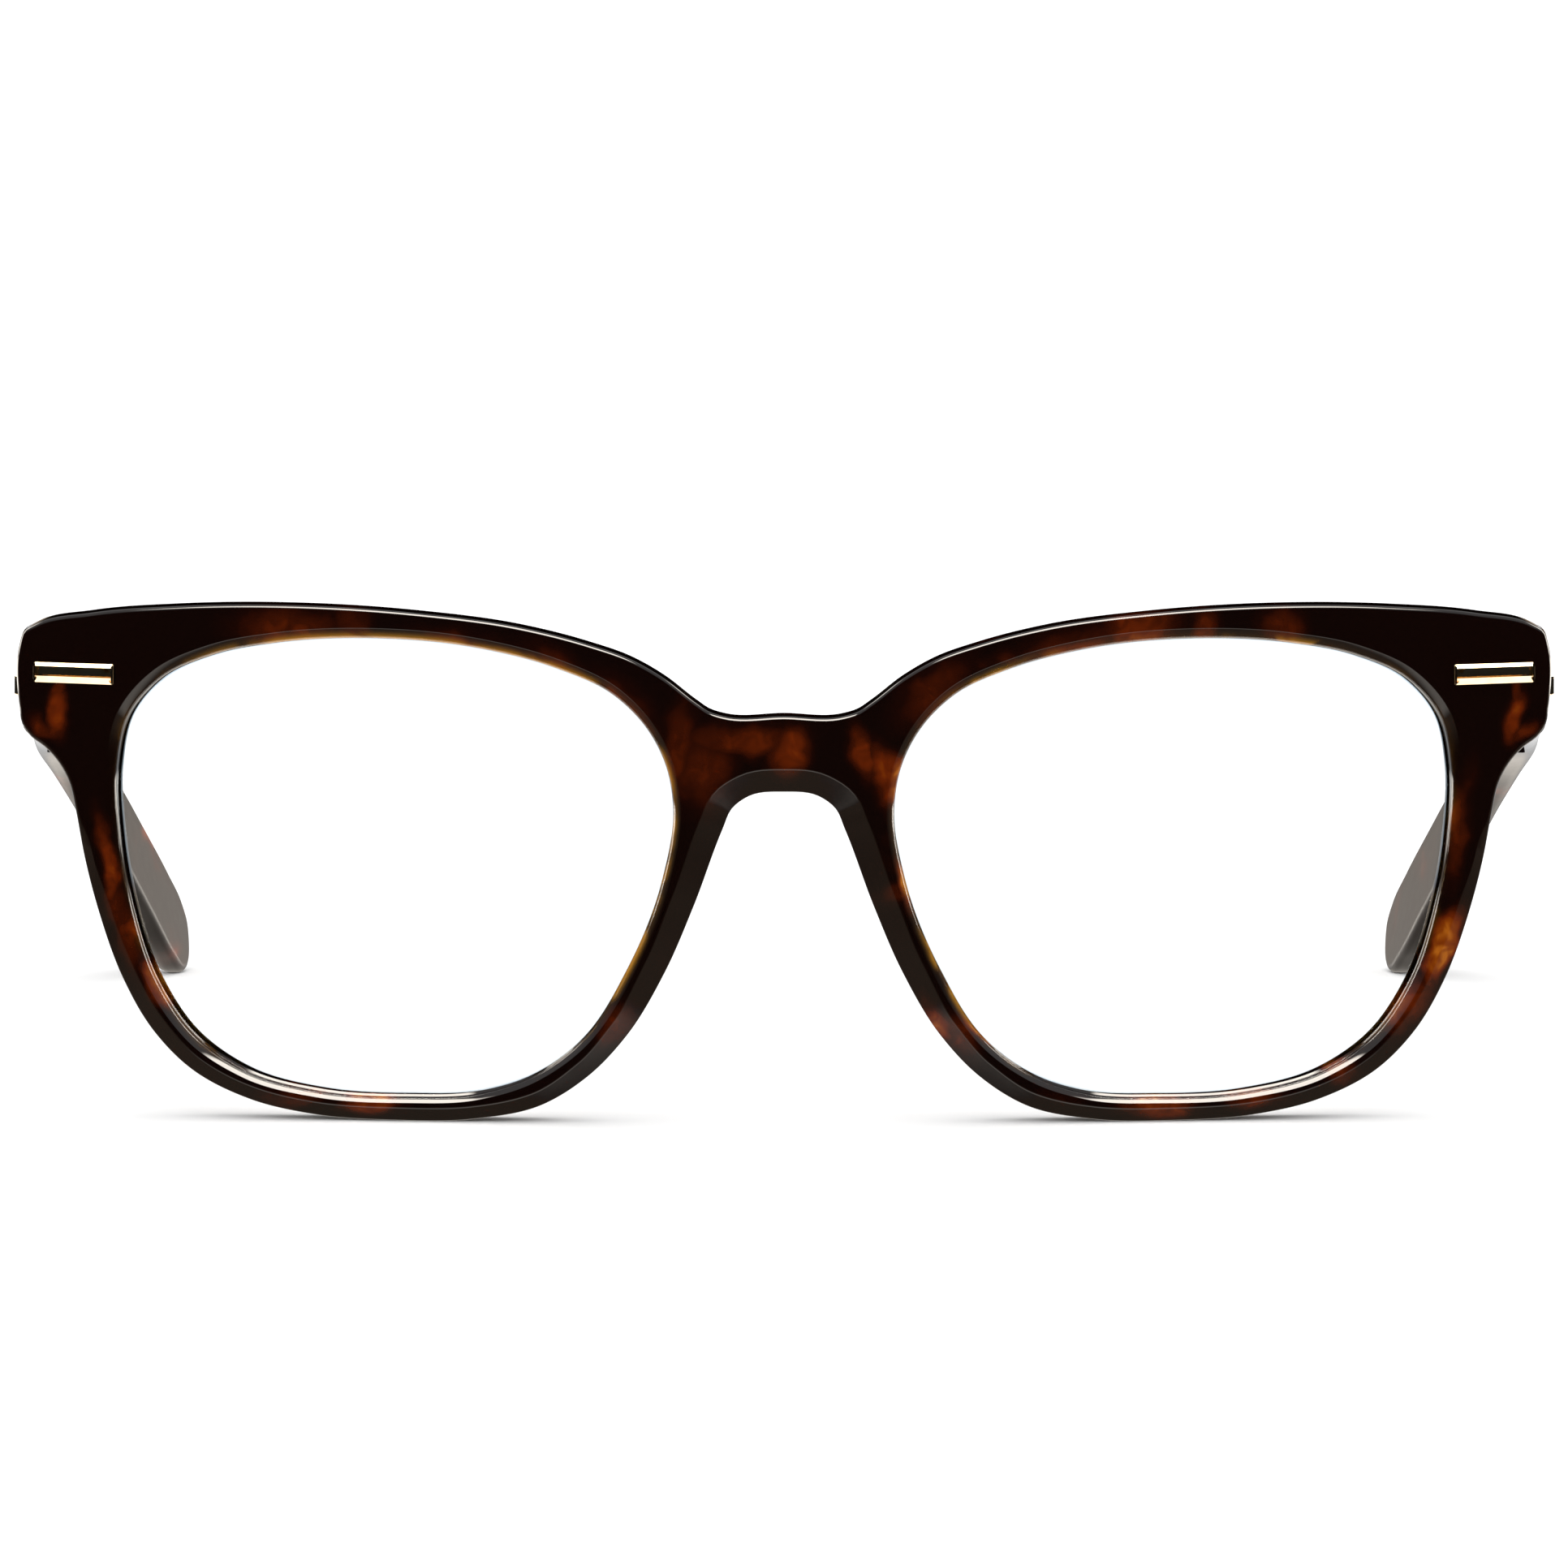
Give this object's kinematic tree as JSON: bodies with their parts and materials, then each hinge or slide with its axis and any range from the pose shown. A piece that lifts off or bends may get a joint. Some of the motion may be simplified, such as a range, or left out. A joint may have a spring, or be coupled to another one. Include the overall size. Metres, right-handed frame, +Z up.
{
  "type": "smart glasses",
  "caption": "Audio smart glasses: wrapped tortoiseshell acetate front with clear lenses and gold bars, folding hollow temples that hold the electronics, and a press button under each.",
  "frame": {"origin": "middle of the object on the surface that the rims and temple tips stand on", "axes": "+X towards the wearer's left, -Y out of the front, +Z up"},
  "size_m": [0.1522, 0.1418, 0.0477],
  "materials": {
    "front_acetate": "polished dark tortoiseshell acetate",
    "temple_acetate": "polished dark tortoiseshell acetate",
    "nose_pad": "polished dark tortoiseshell acetate",
    "lens": "clear, anti-reflection coated",
    "gold_bar": "polished pale gold",
    "hinge_metal": "satin gold plate",
    "screw_steel": "turned steel",
    "core_steel": "drawn wire",
    "cover_plastic": "dark, satin gloss",
    "gasket_rubber": "matt",
    "battery_foil": "satin pouch foil",
    "board": "solder mask",
    "chips": "moulded epoxy",
    "speaker_body": "moulded",
    "mesh_metal": "etched and dark plated",
    "mic_can": "tinned can",
    "contact_gold": "gold plate",
    "magnet": "nickel plate",
    "antenna_copper": "copper foil",
    "touch_film": "polyimide film",
    "flex_film": "polyimide film",
    "light_pipe": "clear moulding",
    "switch_metal": "stamped dome",
    "button_plastic": "dark, satin gloss"
  },
  "bodies": {
    "front": {"front_frame": "front_acetate", "lens_left": "lens", "lens_right": "lens", "front_plaque_left": "gold_bar", "front_plaque_right": "gold_bar", "nose_pad_left": "nose_pad", "nose_pad_right": "nose_pad", "front_hinge_left": "hinge_metal", "front_hinge_right": "hinge_metal", "hinge_screw_left": "screw_steel", "hinge_screw_right": "screw_steel"},
    "temple_left": {"temple_shell_left": "temple_acetate", "temple_cover_left": "cover_plastic", "cover_gasket_left": "gasket_rubber", "cover_screws_left": "screw_steel", "core_wire_left": "core_steel", "temple_hinge_left": "hinge_metal", "temple_plaque_left": "gold_bar", "battery_left": "battery_foil", "circuit_board_left": "board", "board_components_left": "chips", "speaker_left": "speaker_body", "speaker_mesh_left": "mesh_metal", "microphone_left": "mic_can", "charging_contacts_left": "contact_gold", "dock_magnets_left": "magnet", "antenna_left": "antenna_copper", "touch_pad_left": "touch_film", "flex_cable_left": "flex_film", "light_pipe_left": "light_pipe", "button_switch_left": "switch_metal"},
    "button_left": {"button_left": "button_plastic"},
    "temple_right": {"temple_shell_right": "temple_acetate", "temple_cover_right": "cover_plastic", "cover_gasket_right": "gasket_rubber", "cover_screws_right": "screw_steel", "core_wire_right": "core_steel", "temple_hinge_right": "hinge_metal", "temple_plaque_right": "gold_bar", "battery_right": "battery_foil", "circuit_board_right": "board", "board_components_right": "chips", "speaker_right": "speaker_body", "speaker_mesh_right": "mesh_metal", "microphone_right": "mic_can", "charging_contacts_right": "contact_gold", "dock_magnets_right": "magnet", "antenna_right": "antenna_copper", "touch_pad_right": "touch_film", "flex_cable_right": "flex_film", "light_pipe_right": "light_pipe", "button_switch_right": "switch_metal"},
    "button_right": {"button_right": "button_plastic"}
  },
  "joints": [
    {"name": "fold_left", "type": "hinge", "parent": "front", "child": "temple_left", "pos_m": [0.0639, -0.05765, 0.04], "axis": [0, 0.0872, 0.9962], "range_deg": [0, 88]},
    {"name": "fold_right", "type": "hinge", "parent": "front", "child": "temple_right", "pos_m": [-0.0639, -0.05765, 0.04], "axis": [0, -0.0872, -0.9962], "range_deg": [0, 60]},
    {"name": "press_left", "type": "slide", "parent": "temple_left", "child": "button_left", "axis": [0, 0.0872, 0.9962], "range_m": [0, 0.0003], "stiffness_N_per_m": 600, "springref_m": -0.0005},
    {"name": "press_right", "type": "slide", "parent": "temple_right", "child": "button_right", "axis": [0, 0.0872, 0.9962], "range_m": [0, 0.0003], "stiffness_N_per_m": 600, "springref_m": -0.0005}
  ]
}
